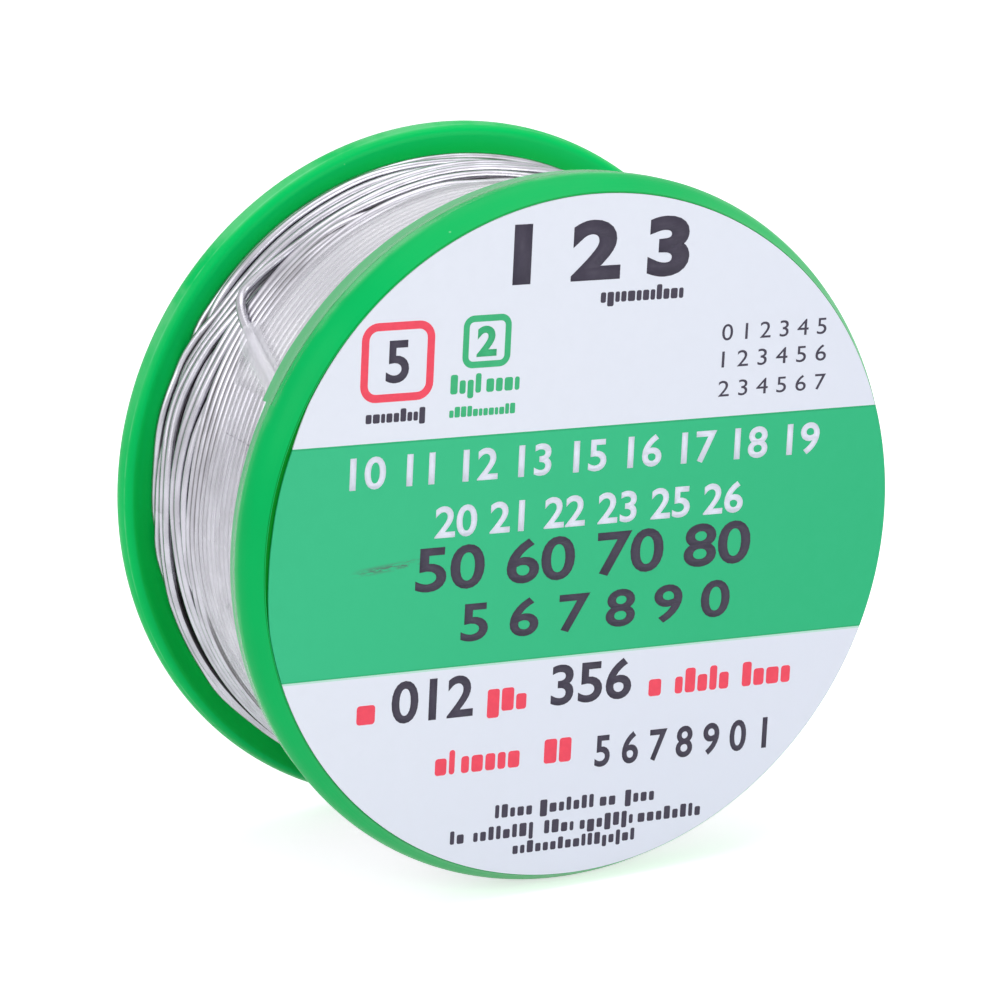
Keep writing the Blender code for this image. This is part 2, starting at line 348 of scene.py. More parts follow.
def ink(name, color):
    """Printed ink, a little uneven."""
    f = Finish(name)
    uneven = f.noise(1400.0, 4.0, 0.65)
    lighter = tuple(min(1.0, 1.08 * c + 0.004) for c in color[:3]) + (1.0,)
    f.set(Base_Color=f.mix(f.span(uneven, 0.35, 0.75), color, lighter),
          Roughness=f.math("MULTIPLY_ADD", uneven, 0.15, 0.40), Specular_IOR_Level=0.2)
    return f.bumped(uneven, 0.006 * MM)


# ---------------------------------------------------------------- shared making steps

def clipped(value):
    """A number held between nought and one."""
    return min(1.0, max(0.0, value))


def around(radius, degrees, y):
    """The point at a distance and an angle about the spool's axis."""
    angle = math.radians(degrees)
    return Vector((radius * math.cos(angle), y, AXIS + radius * math.sin(angle)))


def finished(name, mesh, material, nodes=(), smooth_angle=None):
    """Puts a mesh in the scene as a piece of the spool."""
    if material is not None:
        mesh.materials.append(material)
    if smooth_angle is not None:
        mesh.shade_smooth()
        mesh.set_sharp_from_angle(angle=math.radians(smooth_angle))
    piece = bpy.data.objects.new(name, mesh)
    bpy.context.scene.collection.objects.link(piece)
    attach(piece, "root")
    if nodes:
        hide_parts(*nodes)
    return piece


def mesh_of(name, bm, outwards=True):
    """Turns a bmesh into a mesh; the faces of a closed one are turned outwards."""
    if outwards:
        bmesh.ops.recalc_face_normals(bm, faces=bm.faces)
    mesh = bpy.data.meshes.new(name)
    bm.to_mesh(mesh)
    bm.free()
    return mesh


def curved(p, q, r, s, t):
    """A number on the smooth line through p, q, r and s, with t from nought at q to one at r."""
    return 0.5 * (2 * q + (r - p) * t + (2 * p - 5 * q + 4 * r - s) * t * t
                  + (3 * q - p - 3 * r + s) * t ** 3)


def through(points, steps):
    """A smooth line through some points, with some steps between each pair."""
    ends = [points[0]] + list(points) + [points[-1]]
    line = []
    for a, b, c, d in zip(ends, ends[1:], ends[2:], ends[3:]):
        for step in range(steps):
            line.append(tuple(curved(*values, step / steps) for values in zip(a, b, c, d)))
    return line + [points[-1]]


def turned(outline, edge=0.0):
    """A closed outline of (radius, y) in millimetres turned about the spool's axis."""
    bm = bmesh.new()
    corners = [bm.verts.new((radius * MM, y * MM, 0.0)) for radius, y in outline]
    ring = [bm.edges.new(pair) for pair in zip(corners, corners[1:] + corners[:1])]
    bmesh.ops.spin(bm, geom=corners + ring, cent=(0, 0, 0), axis=(0, 1, 0),
                   angle=2 * math.pi, steps=ROUND, use_merge=True)
    bmesh.ops.recalc_face_normals(bm, faces=bm.faces)
    if edge:
        least = math.radians(40)
        sharp = [e for e in bm.edges if len(e.link_faces) == 2 and e.calc_face_angle() > least]
        bmesh.ops.bevel(bm, geom=sharp, offset=edge, offset_type="OFFSET", segments=2,
                        profile=0.5, affect="EDGES", material=-1, clamp_overlap=True)
    bmesh.ops.translate(bm, verts=bm.verts, vec=(0, 0, AXIS))
    return bm


# ---------------------------------------------------------------- the two mouldings

# The rounded rims, as (radius, y) in millimetres from the label to the winding in front and from
# the winding to the rear face behind, and then the rest of each half's outline.
RIM_STEPS = 4                   # between two points of a rim
MOULDED_EDGE = 0.05 * MM        # the width of the rounding on every sharp edge
RIM_FRONT = [(24.0, -12.03), (24.2, -11.6), (24.47, -11.1), (24.73, -10.6), (24.91, -10.1),
             (24.965, -9.7), (24.885, -9.1), (24.65, -8.525)]
FRONT_SLEEVE = [(11.7, -8.525), (11.7, 8.9), (12.1, 9.3), (12.1, 9.9), (11.7, 10.3),
                (11.7, 11.075), (10.2, 11.075), (10.2, -11.93), (23.98, -11.93)]
RIM_REAR = [(23.95, 8.975), (24.3, 9.0), (24.58, 9.12), (24.8, 9.38), (24.94, 9.74),
            (24.995, 10.15), (24.94, 10.6), (24.72, 11.1), (24.4, 11.6), (24.0, 11.95),
            (23.7, 12.07)]
REAR_BARREL = [(12.4, 12.07), (12.0, 11.7), (12.0, 10.6), (12.4, 10.2), (12.4, 9.0), (12.0, 8.6),
               (12.0, -8.225), (13.6, -8.225), (13.6, 8.975)]


def moulding(name, rim, rest, plastic, node):
    mesh = mesh_of(name, turned(through(rim, RIM_STEPS) + rest, MOULDED_EDGE))
    finished(name, mesh, plastic, [node], smooth_angle=30)


def front_moulding():
    # The second green is the painted shade that the inner face goes toward.
    plastic = green_plastic("green_plastic_front", FRONT_INNER, -1.0, linear(0, 193, 98),
                            linear(0, 178, 84))
    moulding("front_moulding", RIM_FRONT, FRONT_SLEEVE, plastic, "front_spool_half")


def rear_moulding():
    # The same plastic as the front, given its own lighter greens as painted light; the second is
    # the painted shade of its inner face.
    plastic = green_plastic("green_plastic_rear", REAR_INNER, 1.0, linear(0, 207, 101),
                            linear(0, 190, 70))
    moulding("rear_moulding", RIM_REAR, REAR_BARREL, plastic, "rear_spool_half")


# ---------------------------------------------------------------- the winding

# Rows count along the axis, 48.8 to a millimetre, and FLANGE_ROW is the front flange's inner face.
# A turn of the wire is TURN_ROWS wide. Places round the winding run from FIRST_SEEN to LAST_SEEN on
# the side that shows, and then on round the other side.
ROW = MM / 48.8
FLANGE_ROW = 23.0
FIRST_ROW = 52.0
TURN_ROWS = 34.2
FOREMOST_ROW = 40.3             # no wire lies further to the front than this
LAST_ROW = 862.0                # nor further to the rear than this
LEAST_LIFT = -0.62 * MM
MOST_LIFT = 0.78 * MM
FIRST_SEEN = 80
LAST_SEEN = 225
STEPS = 240                     # places round each turn
STEP_ANGLES = FIRST_SEEN + np.arange(STEPS) * 360.0 / STEPS
TIGHT_TURNS = 13
TIGHT_DRIFT = -1.6              # rows by which each tight turn drifts more than the one before
SWEEPS = 160                    # rounds in which the turns find room beside each other
PULL = 0.10                     # how far a turn goes back to its wanted place in each of them
SMOOTHING = 0.22                # how far each place goes to the middle of its two neighbours
LOWER_TURNS = 24                # of the layer beneath, with their own steps and rows
LOWER_STEPS = 120
LOWER_FIRST_ROW = 57.0
LOWER_TURN_ROWS = 33.4
WALL_ROWS = (5, 897)            # a hollow at a flange ends as if a turn lay here

# Where each turn of the outer layer lies on the side that shows: (angle, row, lift). Lift is in
# millimetres, above the outer layer or, below nought, sunk into the one beneath. The tight turns
# are straight; these later ones were wound loosely and wander. The last goes over into the loose
# end.
LOOSE_TURNS = [
    [(87, 482, 0), (92, 479, 0), (96, 484, 0), (99, 495, 0), (110, 491, 0), (121, 499, 0),
     (152, 496, 0), (158, 492, 0), (171, 490, 0), (191, 499, 0), (199, 491, 0), (207, 491, 0),
     (212, 476, 0), (225, 478, 0)],
    [(87, 512, 0), (92, 510, 0), (94, 517, 0), (95, 531, 0), (97, 544, 0), (99, 551, 0),
     (117, 544, 0), (124, 529, 0), (142, 529, 0), (149, 523, 0), (171, 522, 0), (178, 527, 0),
     (191, 530, 0), (199, 518, 0), (207, 517, 0), (212, 505, 0), (225, 505, 0)],
    [(80, 570, -0.55), (107, 572, -0.5), (114, 572, -0.42), (118, 568, -0.28), (122, 576, -0.08),
     (128, 559, 0), (157, 559, 0), (171, 550, 0), (191, 565, 0), (199, 592, 0), (207, 595, 0),
     (212, 586, 0), (225, 576, 0)],
    [(80, 600, -0.6), (107, 600, -0.55), (112, 600, -0.45), (115, 598, -0.25), (119, 601, -0.05),
     (121, 593, 0), (145, 587, 0), (157, 591, 0), (164, 586, 0), (174, 569, 0), (183, 590, 0),
     (191, 597, 0), (199, 626, 0), (207, 630, 0), (212, 622, 0), (225, 608, 0)],
    [(80, 632, -0.6), (121, 632, -0.6), (135, 628, -0.5), (149, 612, -0.36), (157, 610, -0.25),
     (164, 634, -0.1), (171, 633, 0), (175, 635, 0), (183, 623, 0), (190, 630, -0.04),
     (195, 640, -0.28), (200, 645, -0.55), (225, 640, -0.6)],
    [(80, 585, 0), (85, 610, 0), (89, 624, 0), (99, 622, 0), (107, 614, 0), (121, 637, 0),
     (128, 638, 0), (142, 627, 0), (149, 634, 0), (164, 676, 0), (171, 686, 0), (178, 683, 0),
     (185, 669, 0), (192, 664, 0), (199, 663, 0), (207, 665, 0), (214, 658, 0), (225, 644, 0)],
    [(80, 664, -0.6), (118, 664, -0.55), (128, 664, -0.5), (134, 664, -0.36), (139, 664, -0.12),
     (143, 665, 0), (149, 671, 0), (157, 690, 0), (164, 712, 0), (171, 715, 0), (178, 710, 0),
     (185, 696, 0), (192, 696, 0), (199, 701, 0), (207, 699, 0), (214, 693, 0), (225, 673, 0)],
    [(80, 700, -0.6), (121, 700, -0.6), (138, 700, -0.5), (145, 708, -0.42), (149, 720, -0.32),
     (157, 733, -0.3), (164, 745, -0.36), (171, 742, -0.5), (185, 735, -0.6), (207, 735, -0.6),
     (225, 720, -0.6)],
    [(80, 712, -0.45), (121, 705, -0.45), (132, 700, -0.4), (139, 705, -0.25), (143, 711, -0.05),
     (144, 719, 0), (153, 769, 0), (160, 792, 0), (164, 790, 0), (174, 765, 0), (178, 761, 0),
     (189, 784, 0), (196, 803, 0), (203, 813, 0), (210, 814, 0), (225, 782, 0)],
    [(80, 735, -0.45), (121, 730, -0.42), (132, 722, -0.36), (138, 722, -0.2), (141, 717, -0.03),
     (144, 734, 0), (149, 769, 0), (154, 794, 0), (158, 810, 0), (164, 819, 0), (174, 793, 0),
     (178, 791, 0), (181, 796, 0), (199, 847, 0), (207, 862, 0), (214, 862, 0), (225, 832, 0)],
    [(80, 738, 0), (87, 744, 0), (92, 742, 0), (99, 734, 0), (114, 730, 0), (128, 745, 0),
     (135, 756, 0), (141, 761, 0), (147, 789, 0), (149, 805, 0), (157, 842, 0), (161, 853, 0),
     (164, 855, 0), (174, 829, 0), (178, 827, 0), (184, 836, 0), (190, 853, 0), (196, 862, -0.22),
     (202, 862, -0.5), (209, 862, -0.5), (216, 862, -0.25), (225, 862, 0)],
    [(80, 790, -0.45), (92, 790, -0.4), (98, 790, -0.25), (101, 773, -0.05), (110, 785, 0),
     (131, 789, 0), (139, 789, 0), (142, 797, 0), (147, 819, 0), (149, 835, 0), (152, 853, 0),
     (155, 862, 0), (182, 862, 0), (188, 862, -0.3), (196, 862, -0.6), (225, 862, -0.6)],
    [(80, 812, -0.45), (92, 812, -0.45), (107, 812, -0.32), (135, 812, -0.3), (142, 818, -0.34),
     (152, 836, -0.55), (225, 836, -0.6)],
    [(80, 832, -0.3), (92, 832, -0.1), (107, 832, 0.26), (135, 832, 0.28), (142, 834, 0.24),
     (148, 840, 0), (152, 848, -0.4), (225, 848, -0.6)],
    [(80, 862, 0), (107, 862, 0.14), (142, 862, 0.14), (149, 862, 0.05), (155, 862, -0.3),
     (161, 862, -0.55), (225, 862, -0.6)],
    [(80, 680, 0), (85, 690, 0), (92, 696, 0), (107, 676, 0), (114, 669, 0), (124, 668, 0.03),
     (129, 671, 0.22), (133, 673, 0.48), (137, 676, 0.74)],
]
LOOSE_END_GONE = STEP_ANGLES > LOOSE_TURNS[-1][-1][0]    # where it has left the turns

# The loose end after it bends over the turns toward the front: (angle, row, lift).
LOOSE_END = [(138.2, 673, 0.76), (139.2, 664, 0.77), (140.0, 650, 0.77), (140.9, 625, 0.76),
             (141.8, 592, 0.75), (142.7, 552, 0.75), (143.5, 512, 0.74), (144.3, 468, 0.73),
             (145.1, 420, 0.72), (146.2, 355, 0.71), (147.4, 285, 0.70), (148.5, 215, 0.70),
             (149.3, 160, 0.70), (149.8, 125, 0.68)]

# The turn before the last rises on the unseen side, to pass over its neighbours.
UNSEEN_RISE = [(300, 840, 0.2), (370, 770, 0.62), (410, 720, 0.62)]

# How far the winding lies inside its full radius, in millimetres, near the front and the rear.
DIP_ANGLES = [80, 90, 96, 103, 112, 124, 145, 150, 157, 165, 172, 180, 191, 199, 207, 214, 225,
              300, 440]
DIP_FRONT = [0.8, 0.78, 0.55, 0.36, 0.2, 0, 0.03, 0.14, 0.28, 0.35, 0.32, 0.26, 0.27, 0.46, 0.6,
             0.72, 0.8, 0.8, 0.8]
DIP_REAR = [0.24, 0.24, 0.2, 0.16, 0.1, 0, 0, 0, 0, 0, 0, 0, 0, 0, 0, 0, 0.02, 0.2, 0.24]
DIP_ROWS = (500, 760)           # between these the one dip goes over into the other


def row_to_y(row):
    return FRONT_INNER + (row - FLANGE_ROW) * ROW


def eased(values):
    """One dip for each degree from FIRST_SEEN on, with the corners of the table rounded off."""
    line = np.interp(np.arange(FIRST_SEEN, FIRST_SEEN + 360), DIP_ANGLES, values)
    window = np.hanning(21)[1:-1]
    ring = np.concatenate([line[-9:], line, line[:10]])
    return np.convolve(ring, window / window.sum(), "valid")


EASED_FRONT = eased(DIP_FRONT)
EASED_REAR = eased(DIP_REAR)


def loosened(angle, y):
    """How far the winding lies inside its full radius: it is a little oval, most near the front."""
    seen = (np.asarray(angle, float) - FIRST_SEEN) % 360.0
    front = np.interp(seen, np.arange(361), EASED_FRONT)
    rear = np.interp(seen, np.arange(361), EASED_REAR)
    share = np.interp(y, [row_to_y(row) for row in DIP_ROWS], [0.0, 1.0])
    return (front + (rear - front) * share) * MM


def wanted_turns():
    """Where the tables put the middle of the wire: y and radius, by turn and step."""
    knots = []
    for index in range(TIGHT_TURNS):
        start = FIRST_ROW + TURN_ROWS * index
        drift = TIGHT_DRIFT * index
        knots.append([(FIRST_SEEN, start, 0), (188, start, 0), (200, start + 0.5 * drift, 0),
                      (LAST_SEEN, start + drift, 0)])
    knots += LOOSE_TURNS
    turns = len(knots)
    y = np.zeros((turns, STEPS))
    r = np.zeros((turns, STEPS))
    for index, own in enumerate(knots):
        _, row, lift = knots[min(index + 1, turns - 1)][0]
        rise = UNSEEN_RISE if index == turns - 2 else []
        at, row, lift = np.array([*own, *rise, (FIRST_SEEN + 360, row, lift)], float).T
        y[index] = row_to_y(np.interp(STEP_ANGLES, at, row))
        r[index] = TOP_LAYER + np.interp(STEP_ANGLES, at, lift) * MM
    return y, r


def wound_turns():
    """The middle of the wire in the outer layer: y and radius, by turn and step.

    Each turn is drawn to its wanted place, turns that overlap push each other apart, the sunken
    ones making way, and the wire is kept smooth.
    """
    want_y, want_r = wanted_turns()
    y = want_y.copy()
    r = want_r.copy()
    yields = np.clip((TOP_LAYER - 0.22 * MM - want_r) / (0.16 * MM), 0.0, 1.0)
    first, second = np.triu_indices(len(y), 1)
    with_loose_end = np.ix_(second == len(y) - 1, LOOSE_END_GONE)
    for _ in range(SWEEPS):
        y += PULL * (want_y - y)
        r += PULL * (want_r - r)
        apart_y = y[second] - y[first]
        apart_r = r[second] - r[first]
        distance = np.sqrt(apart_y ** 2 + apart_r ** 2) + 1e-9
        push = np.clip(WIRE - distance, 0, None) * 0.5
        push *= 1.0 - yields[first] * yields[second]
        push[with_loose_end] = 0.0
        for side, index, other in ((-1, first, second), (1, second, first)):
            share = (1.0 + yields[index] - yields[other]) * 0.5 * side
            np.add.at(y, index, share * push * apart_y / distance)
            np.add.at(r, index, share * push * apart_r / distance)
        y = np.clip(y, row_to_y(FOREMOST_ROW), row_to_y(LAST_ROW))
        r = np.clip(r, TOP_LAYER + LEAST_LIFT, TOP_LAYER + MOST_LIFT)
        for values in (y, r):
            line = values.reshape(-1)
            line[1:-1] += SMOOTHING * (0.5 * (line[:-2] + line[2:]) - line[1:-1])
    return y, r - loosened(STEP_ANGLES, y)


def tube(name, course, material, nodes=(), sides=3):
    """A wire along a list of (distance from the axis, angle, y)."""
    curve = bpy.data.curves.new(name, "CURVE")
    curve.dimensions = "3D"
    curve.bevel_depth = WIRE / 2
    curve.bevel_resolution = sides
    curve.use_fill_caps = True
    spline = curve.splines.new("POLY")
    spline.points.add(len(course) - 1)
    for point, place in zip(spline.points, course):
        point.co = (*around(*place), 1.0)
    holder = bpy.data.objects.new(name + "_course", curve)
    mesh = bpy.data.meshes.new_from_object(holder)
    bpy.data.objects.remove(holder)
    bpy.data.curves.remove(curve)
    mesh.name = name
    mesh.materials.clear()
    return finished(name, mesh, material, nodes, smooth_angle=50)


def smoothed_along(values, rings):
    """The values on a wire's points, averaged with those of the rings before and behind."""
    window = np.hanning(11)[1:-1]
    padded = np.pad(values.reshape(rings, -1), ((4, 4), (0, 0)), "edge")
    shares = enumerate(window / window.sum())
    return sum(share * padded[k:k + rings] for k, share in shares).reshape(-1)


def note_gaps(piece, y, r, own, steps):
    """Stores on each point of a wire how open its surroundings are, in millimetres.

    That is how far the nearest other turn of the outer layer is, made less where painted shade
    falls: in a hollow between two turns and on a raised turn's lower flank beside one. Own is one
    where the wire is itself among the turns of y and r, or else nought, and steps is how many
    places its course has.
    """
    places = np.empty(len(piece.data.vertices) * 3)
    piece.data.vertices.foreach_get("co", places)
    x, along, z = places.reshape(-1, 3).T
    z = z - AXIS
    radius = np.hypot(x, z)
    degrees = np.degrees(np.arctan2(z, x))
    step = (degrees - FIRST_SEEN) % 360.0 * STEPS / 360.0
    low = np.minimum(step.astype(int), STEPS - 1)
    high = np.minimum(low + 1, STEPS - 1)
    part = step - low
    turn_y = y[:, low] * (1 - part) + y[:, high] * part
    turn_r = r[:, low] * (1 - part) + r[:, high] * part
    away = np.hypot(turn_y - along, turn_r - radius)
    free = (np.sort(away, axis=0)[own] - WIRE / 2) / MM

    # How wide the hollow between the raised turns on both sides is.
    dip = loosened(degrees, along)
    raised = turn_r + dip > TOP_LAYER - 0.3 * MM
    front_wall, rear_wall = (row_to_y(row) for row in WALL_ROWS)
    before = np.where(raised & (turn_y <= along), turn_y, front_wall).max(axis=0)
    behind = np.where(raised & (turn_y > along), turn_y, rear_wall).min(axis=0)
    hollow = np.clip((behind - before - WIRE) / MM, 0.0, 3.0)

    # Painted shade: wire deep in a hollow is made dark, and so is the lower flank of a raised turn
    # beside one, on the underside at the left.
    itself = raised[away.argmin(axis=0), np.arange(len(x))] & (own == 1)
    deep = (radius + dip < TOP_LAYER + 0.02 * MM) & ~itself
    free = np.where(deep, np.minimum(free, 0.05 + 0.12 * hollow), free)
    flank = itself & (z < -4.0 * MM) & (x < 0) & (hollow > 0.3)
    flank &= radius + dip < TOP_LAYER + 0.22 * MM
    narrow = np.clip(0.7 - hollow, 0.0, 1.0)
    free = np.where(flank, np.minimum(free, 0.06 + 0.3 * narrow), free)

    free = smoothed_along(free, steps + 2)        # the caps of the wire's two ends come first
    gap = piece.data.attributes.new("gap", "FLOAT", "POINT")
    gap.data.foreach_set("value", free.astype(np.float32))


def outer_turns(y, r):
    """All turns of the outer layer as one wire, which ends in the loose end."""
    last = len(y) - 1
    course = [(r[turn, step], angle, y[turn, step])
              for turn in range(len(y)) for step, angle in enumerate(STEP_ANGLES)
              if turn < last or not LOOSE_END_GONE[step]]
    bend = course[-4:] + [
        (TOP_LAYER + lift * MM - loosened(angle, row_to_y(row)), angle, row_to_y(row))
        for angle, row, lift in LOOSE_END]
    course += through(bend, 5)[16:]
    wire = tube("outer_turns_of_wire", course, solder("solder_bright", 1.0, 0.80),
                ["solder_wire_outer_turns"])
    note_gaps(wire, y[:-1], r[:-1], 1, len(course))    # the loose end grazes no other turn


def lower_turns(y, r):
    """The layer under the outer one, which shows between the loose turns."""
    course = []
    for index in range(LOWER_TURNS * LOWER_STEPS + 1):
        angle = FIRST_SEEN + index * 360.0 / LOWER_STEPS
        place = row_to_y(LOWER_FIRST_ROW + LOWER_TURN_ROWS * index / LOWER_STEPS)
        course.append((LOWER_LAYER - loosened(angle, place), angle, place))
    wire = tube("lower_turns_of_wire", course, solder("solder_shaded", 0.82, 0.80, 0.50), sides=2)
    note_gaps(wire, y[:-1], r[:-1], 0, len(course))


def winding():
    y, r = wound_turns()
    outer_turns(y, r)
    lower_turns(y, r)
    core = turned([(13.75, -8.2), (21.3, -8.2), (21.3, 8.65), (13.75, 8.65)])
    # The buried layers are the same wire, darkened as painted shade.
    finished("wire_deep_in_the_winding", mesh_of("wire_deep_in_the_winding", core),
             solder("solder_deep_shaded", 0.35), ["solder_wire_buried_layers"], smooth_angle=30)


# ---------------------------------------------------------------- the tape

# The strip runs back from its cut end, which shows, once and a half round. Its edge toward the
# rear is given as (angle, row), and its front edge is drawn over the rim of the front flange.
TAPE_END = 152.6
TAPE_RUN = 560.0
TAPE_STEPS = 560
TAPE_COLUMNS = 40
TAPE_FILM = 0.03 * MM
TAPE_RADIUS = 23.262 * MM
TAPE_FRONT_ROW = 32.0
TAPE_REAR_EDGE = [(80, 498), (90, 500), (96, 503), (103, 499), (110, 488), (117, 481), (131, 475),
                  (140, 474), (144, 500), (148, 496), (151, 468), (154, 440), (160, 440),
                  (170, 466), (176, 503), (182, 530), (189, 535), (196, 534), (203, 532),
                  (210, 526), (225, 520), (300, 505), (440, 498)]
EDGE_ANGLES, EDGE_ROWS = zip(*TAPE_REAR_EDGE)
TAIL_ANGLES, TAIL_ROWS, _ = zip(*LOOSE_END[:3:-1])      # of the loose end, where the tape is on it
RIM_FORWARD = [0.0, 0.29, 0.575, 0.875, 1.175, 1.575]   # millimetres before the rim's corner
RIM_RADII = [24.65, 24.765, 24.885, 24.942, 24.965, 24.915]
RIM_FOOT = 24.70 * MM
ON_RIM = 0.45                   # the share of the strip's front margin that climbs to the rim
LAP_LIFT = 0.08 * MM            # of the strip's second round over its first
TAIL_LIFT = 0.70                # millimetres, over the loose end
TAIL_SLOPES = (2.0, 1.5)        # millimetres from there to where it lies flat, on either side


def tape_place(travelled, t):
    """A point on the strip: degrees back from its end, and nought to one from front to rear."""
    seen_angle = (TAPE_END - travelled - FIRST_SEEN) % 360.0 + FIRST_SEEN
    rear = float(np.interp(seen_angle, EDGE_ANGLES, EDGE_ROWS))
    row = TAPE_FRONT_ROW + (rear - TAPE_FRONT_ROW) * t
    y = row_to_y(row)
    lap = clipped((230.0 - travelled) / 60.0)        # one where it lies over its first round
    radius = TAPE_RADIUS - float(loosened(seen_angle, y)) + LAP_LIFT * lap
    if travelled < 60.0:                             # over the loose end, which it holds down
        tail = float(np.interp(row, TAIL_ROWS, TAIL_ANGLES))
        off = (seen_angle - tail) * math.radians(1.0) * 23.5
        nearby = max(0.0, 1.0 - abs(off) / TAIL_SLOPES[0 if off > 0 else 1])
        lifted = TAIL_LIFT * nearby * nearby * (3.0 - 2.0 * nearby)
        radius += lifted * clipped((row - 60.0) / 50.0) * MM
    climb = clipped((215.0 - travelled) / 30.0)      # the part that shows is drawn further over
    near = max(0.0, 1.0 - t / (0.10 + 0.06 * climb))
    radius += (RIM_FOOT - radius) * min(1.0, near / (ON_RIM - 0.17 * climb))
    if near > ON_RIM:
        y -= (near - ON_RIM) / (1.0 - ON_RIM) * (0.40 + 1.10 * climb) * MM
        rim = float(np.interp((FRONT_INNER - y) / MM, RIM_FORWARD, RIM_RADII))
        radius = (rim + 0.018 + 0.010 * lap) * MM
    return around(radius, TAPE_END - travelled, y)


def tape():
    bm = bmesh.new()
    bmesh.ops.create_grid(bm, x_segments=TAPE_STEPS, y_segments=TAPE_COLUMNS, size=0.5)
    for vert in bm.verts:
        vert.co = tape_place(TAPE_RUN * (vert.co.x + 0.5), vert.co.y + 0.5)
    bmesh.ops.solidify(bm, geom=bm.faces[:], thickness=TAPE_FILM)
    finished("tape_over_the_turns", mesh_of("tape_over_the_turns", bm), clear_film(),
             ["holding_tape"], smooth_angle=40)


# ---------------------------------------------------------------- the label and its print

LABEL_TILT = -2.95              # degrees by which the label was stuck on askew
PAPER_WHITE = linear(231, 235, 245)
FIELD_EDGES = (7.90, 7.76, -8.06, -8.16, -8.30)    # millimetres above the middle of the label
FIELD_PAPERS = (0, 2, 1, 2, 3, 0)                  # the paper above, between and below them
FLAT_ANGLES = [135, 150, 158, 172, 179, 188]       # where the disc is cut flat at the left
FLAT_DEPTHS = [0.0, 0.06, 0.26, 0.28, 0.20, 0.0]


def label_place(y):
    return (Matrix.Translation((0, y, AXIS)) @ Matrix.Rotation(math.radians(90), 4, "X")
            @ Matrix.Rotation(math.radians(LABEL_TILT), 4, "Z"))


def drawn_up(bm, depth):
    """Gives a flat shape on the XY plane a depth along Z."""
    grown = bmesh.ops.extrude_face_region(bm, geom=bm.faces[:])["geom"]
    bmesh.ops.translate(bm, verts=[g for g in grown if isinstance(g, bmesh.types.BMVert)],
                        vec=(0, 0, depth))


def paper_label():
    """A paper disc cut a little flat at the left, its print fields divided by straight lines."""
    bm = bmesh.new()
    bmesh.ops.create_circle(bm, cap_ends=True, segments=480, radius=LABEL_RADIUS)
    for vert in bm.verts:
        angle = math.degrees(math.atan2(vert.co.y, vert.co.x)) % 360.0 + LABEL_TILT
        flat = float(np.interp(angle, FLAT_ANGLES, FLAT_DEPTHS))
        vert.co *= 1.0 - flat * MM / LABEL_RADIUS
    for height in FIELD_EDGES:
        bmesh.ops.bisect_plane(bm, geom=bm.verts[:] + bm.edges[:] + bm.faces[:], dist=1e-7,
                               plane_co=(0, height * MM, 0), plane_no=(0, 1, 0))
    for face in bm.faces:
        height = face.calc_center_median().y / MM
        face.material_index = FIELD_PAPERS[sum(height < edge for edge in FIELD_EDGES)]
    drawn_up(bm, LABEL_FACE - LABEL_BACK)
    bmesh.ops.transform(bm, matrix=label_place(LABEL_FACE + 0.010 * MM), verts=bm.verts)
    mesh = mesh_of("paper_label", bm)
    for name, plain, shaded in (
            ("label_white", PAPER_WHITE, linear(226, 230, 242)),
            ("label_green", linear(52, 191, 134), linear(40, 183, 124)),
            ("label_green_line", linear(40, 176, 118), linear(34, 168, 110)),
            ("label_pale_line", linear(190, 230, 215), linear(186, 228, 212))):
        mesh.materials.append(coated_paper(name, plain, shaded))
    finished("paper_label", mesh, None, ["front_label"])


def printed(name, bm, material):
    """Gives flat print the thickness of ink and puts it on the label."""
    drawn_up(bm, -0.014 * MM)
    bmesh.ops.transform(bm, matrix=label_place(LABEL_FACE), verts=bm.verts)
    finished(name, mesh_of(name, bm), material)


def numerals(name, text, box, material, weight=0.0):
    """Plain numerals fitted into a box of left, right, bottom and top, in millimetres."""
    curve = bpy.data.curves.new(name, "FONT")
    curve.body = text
    curve.size = 1.0
    curve.offset = weight
    curve.resolution_u = 5
    holder = bpy.data.objects.new(name + "_type", curve)
    mesh = bpy.data.meshes.new_from_object(holder)
    bpy.data.objects.remove(holder)
    bpy.data.curves.remove(curve)
    bm = bmesh.new()
    bm.from_mesh(mesh)
    bpy.data.meshes.remove(mesh)
    bmesh.ops.remove_doubles(bm, verts=bm.verts, dist=1e-5)
    xs = [v.co.x for v in bm.verts]
    ys = [v.co.y for v in bm.verts]
    left, right, bottom, top = box
    wide = (right - left) / (max(xs) - min(xs))
    high = (top - bottom) / (max(ys) - min(ys))
    for vert in bm.verts:
        vert.co.x = (left + (vert.co.x - min(xs)) * wide) * MM
        vert.co.y = (bottom + (vert.co.y - min(ys)) * high) * MM
        vert.co.z = 0.0
    printed(name, bm, material)


def rounded(bm, offset, segments):
    """Rounds the corners of flat print."""
    bmesh.ops.bevel(bm, geom=bm.verts[:], offset=offset, offset_type="OFFSET", segments=segments,
                    profile=0.5, affect="VERTICES", material=-1, clamp_overlap=True)


def word_marks(name, words, base, x_height, material, seed, narrow=0.62, gap=0.16):
    """Rows of blank marks, as long as words, in place of lettering: (left, right) by word."""
    chance = random.Random(seed)
    bm = bmesh.new()
    for left, right in words:
        at = left
        while at < right - 0.3 * x_height:
            width = min(x_height * narrow * chance.uniform(0.75, 1.35), right - at)
            height = x_height * (1.45 if chance.random() < 0.22 else 1.0)
            low = base - (0.38 * x_height if chance.random() < 0.07 else 0.0)
            tall = base + height - low
            place = Matrix.Translation(((at + width / 2) * MM, (low + tall / 2) * MM, 0))
            scale = Matrix.Diagonal((width * MM, tall * MM, 1, 1))
            bmesh.ops.create_grid(bm, x_segments=1, y_segments=1, size=0.5, matrix=place @ scale)
            at += width + gap * x_height
    rounded(bm, 0.17 * x_height * MM, 3)
    printed(name, bm, material)


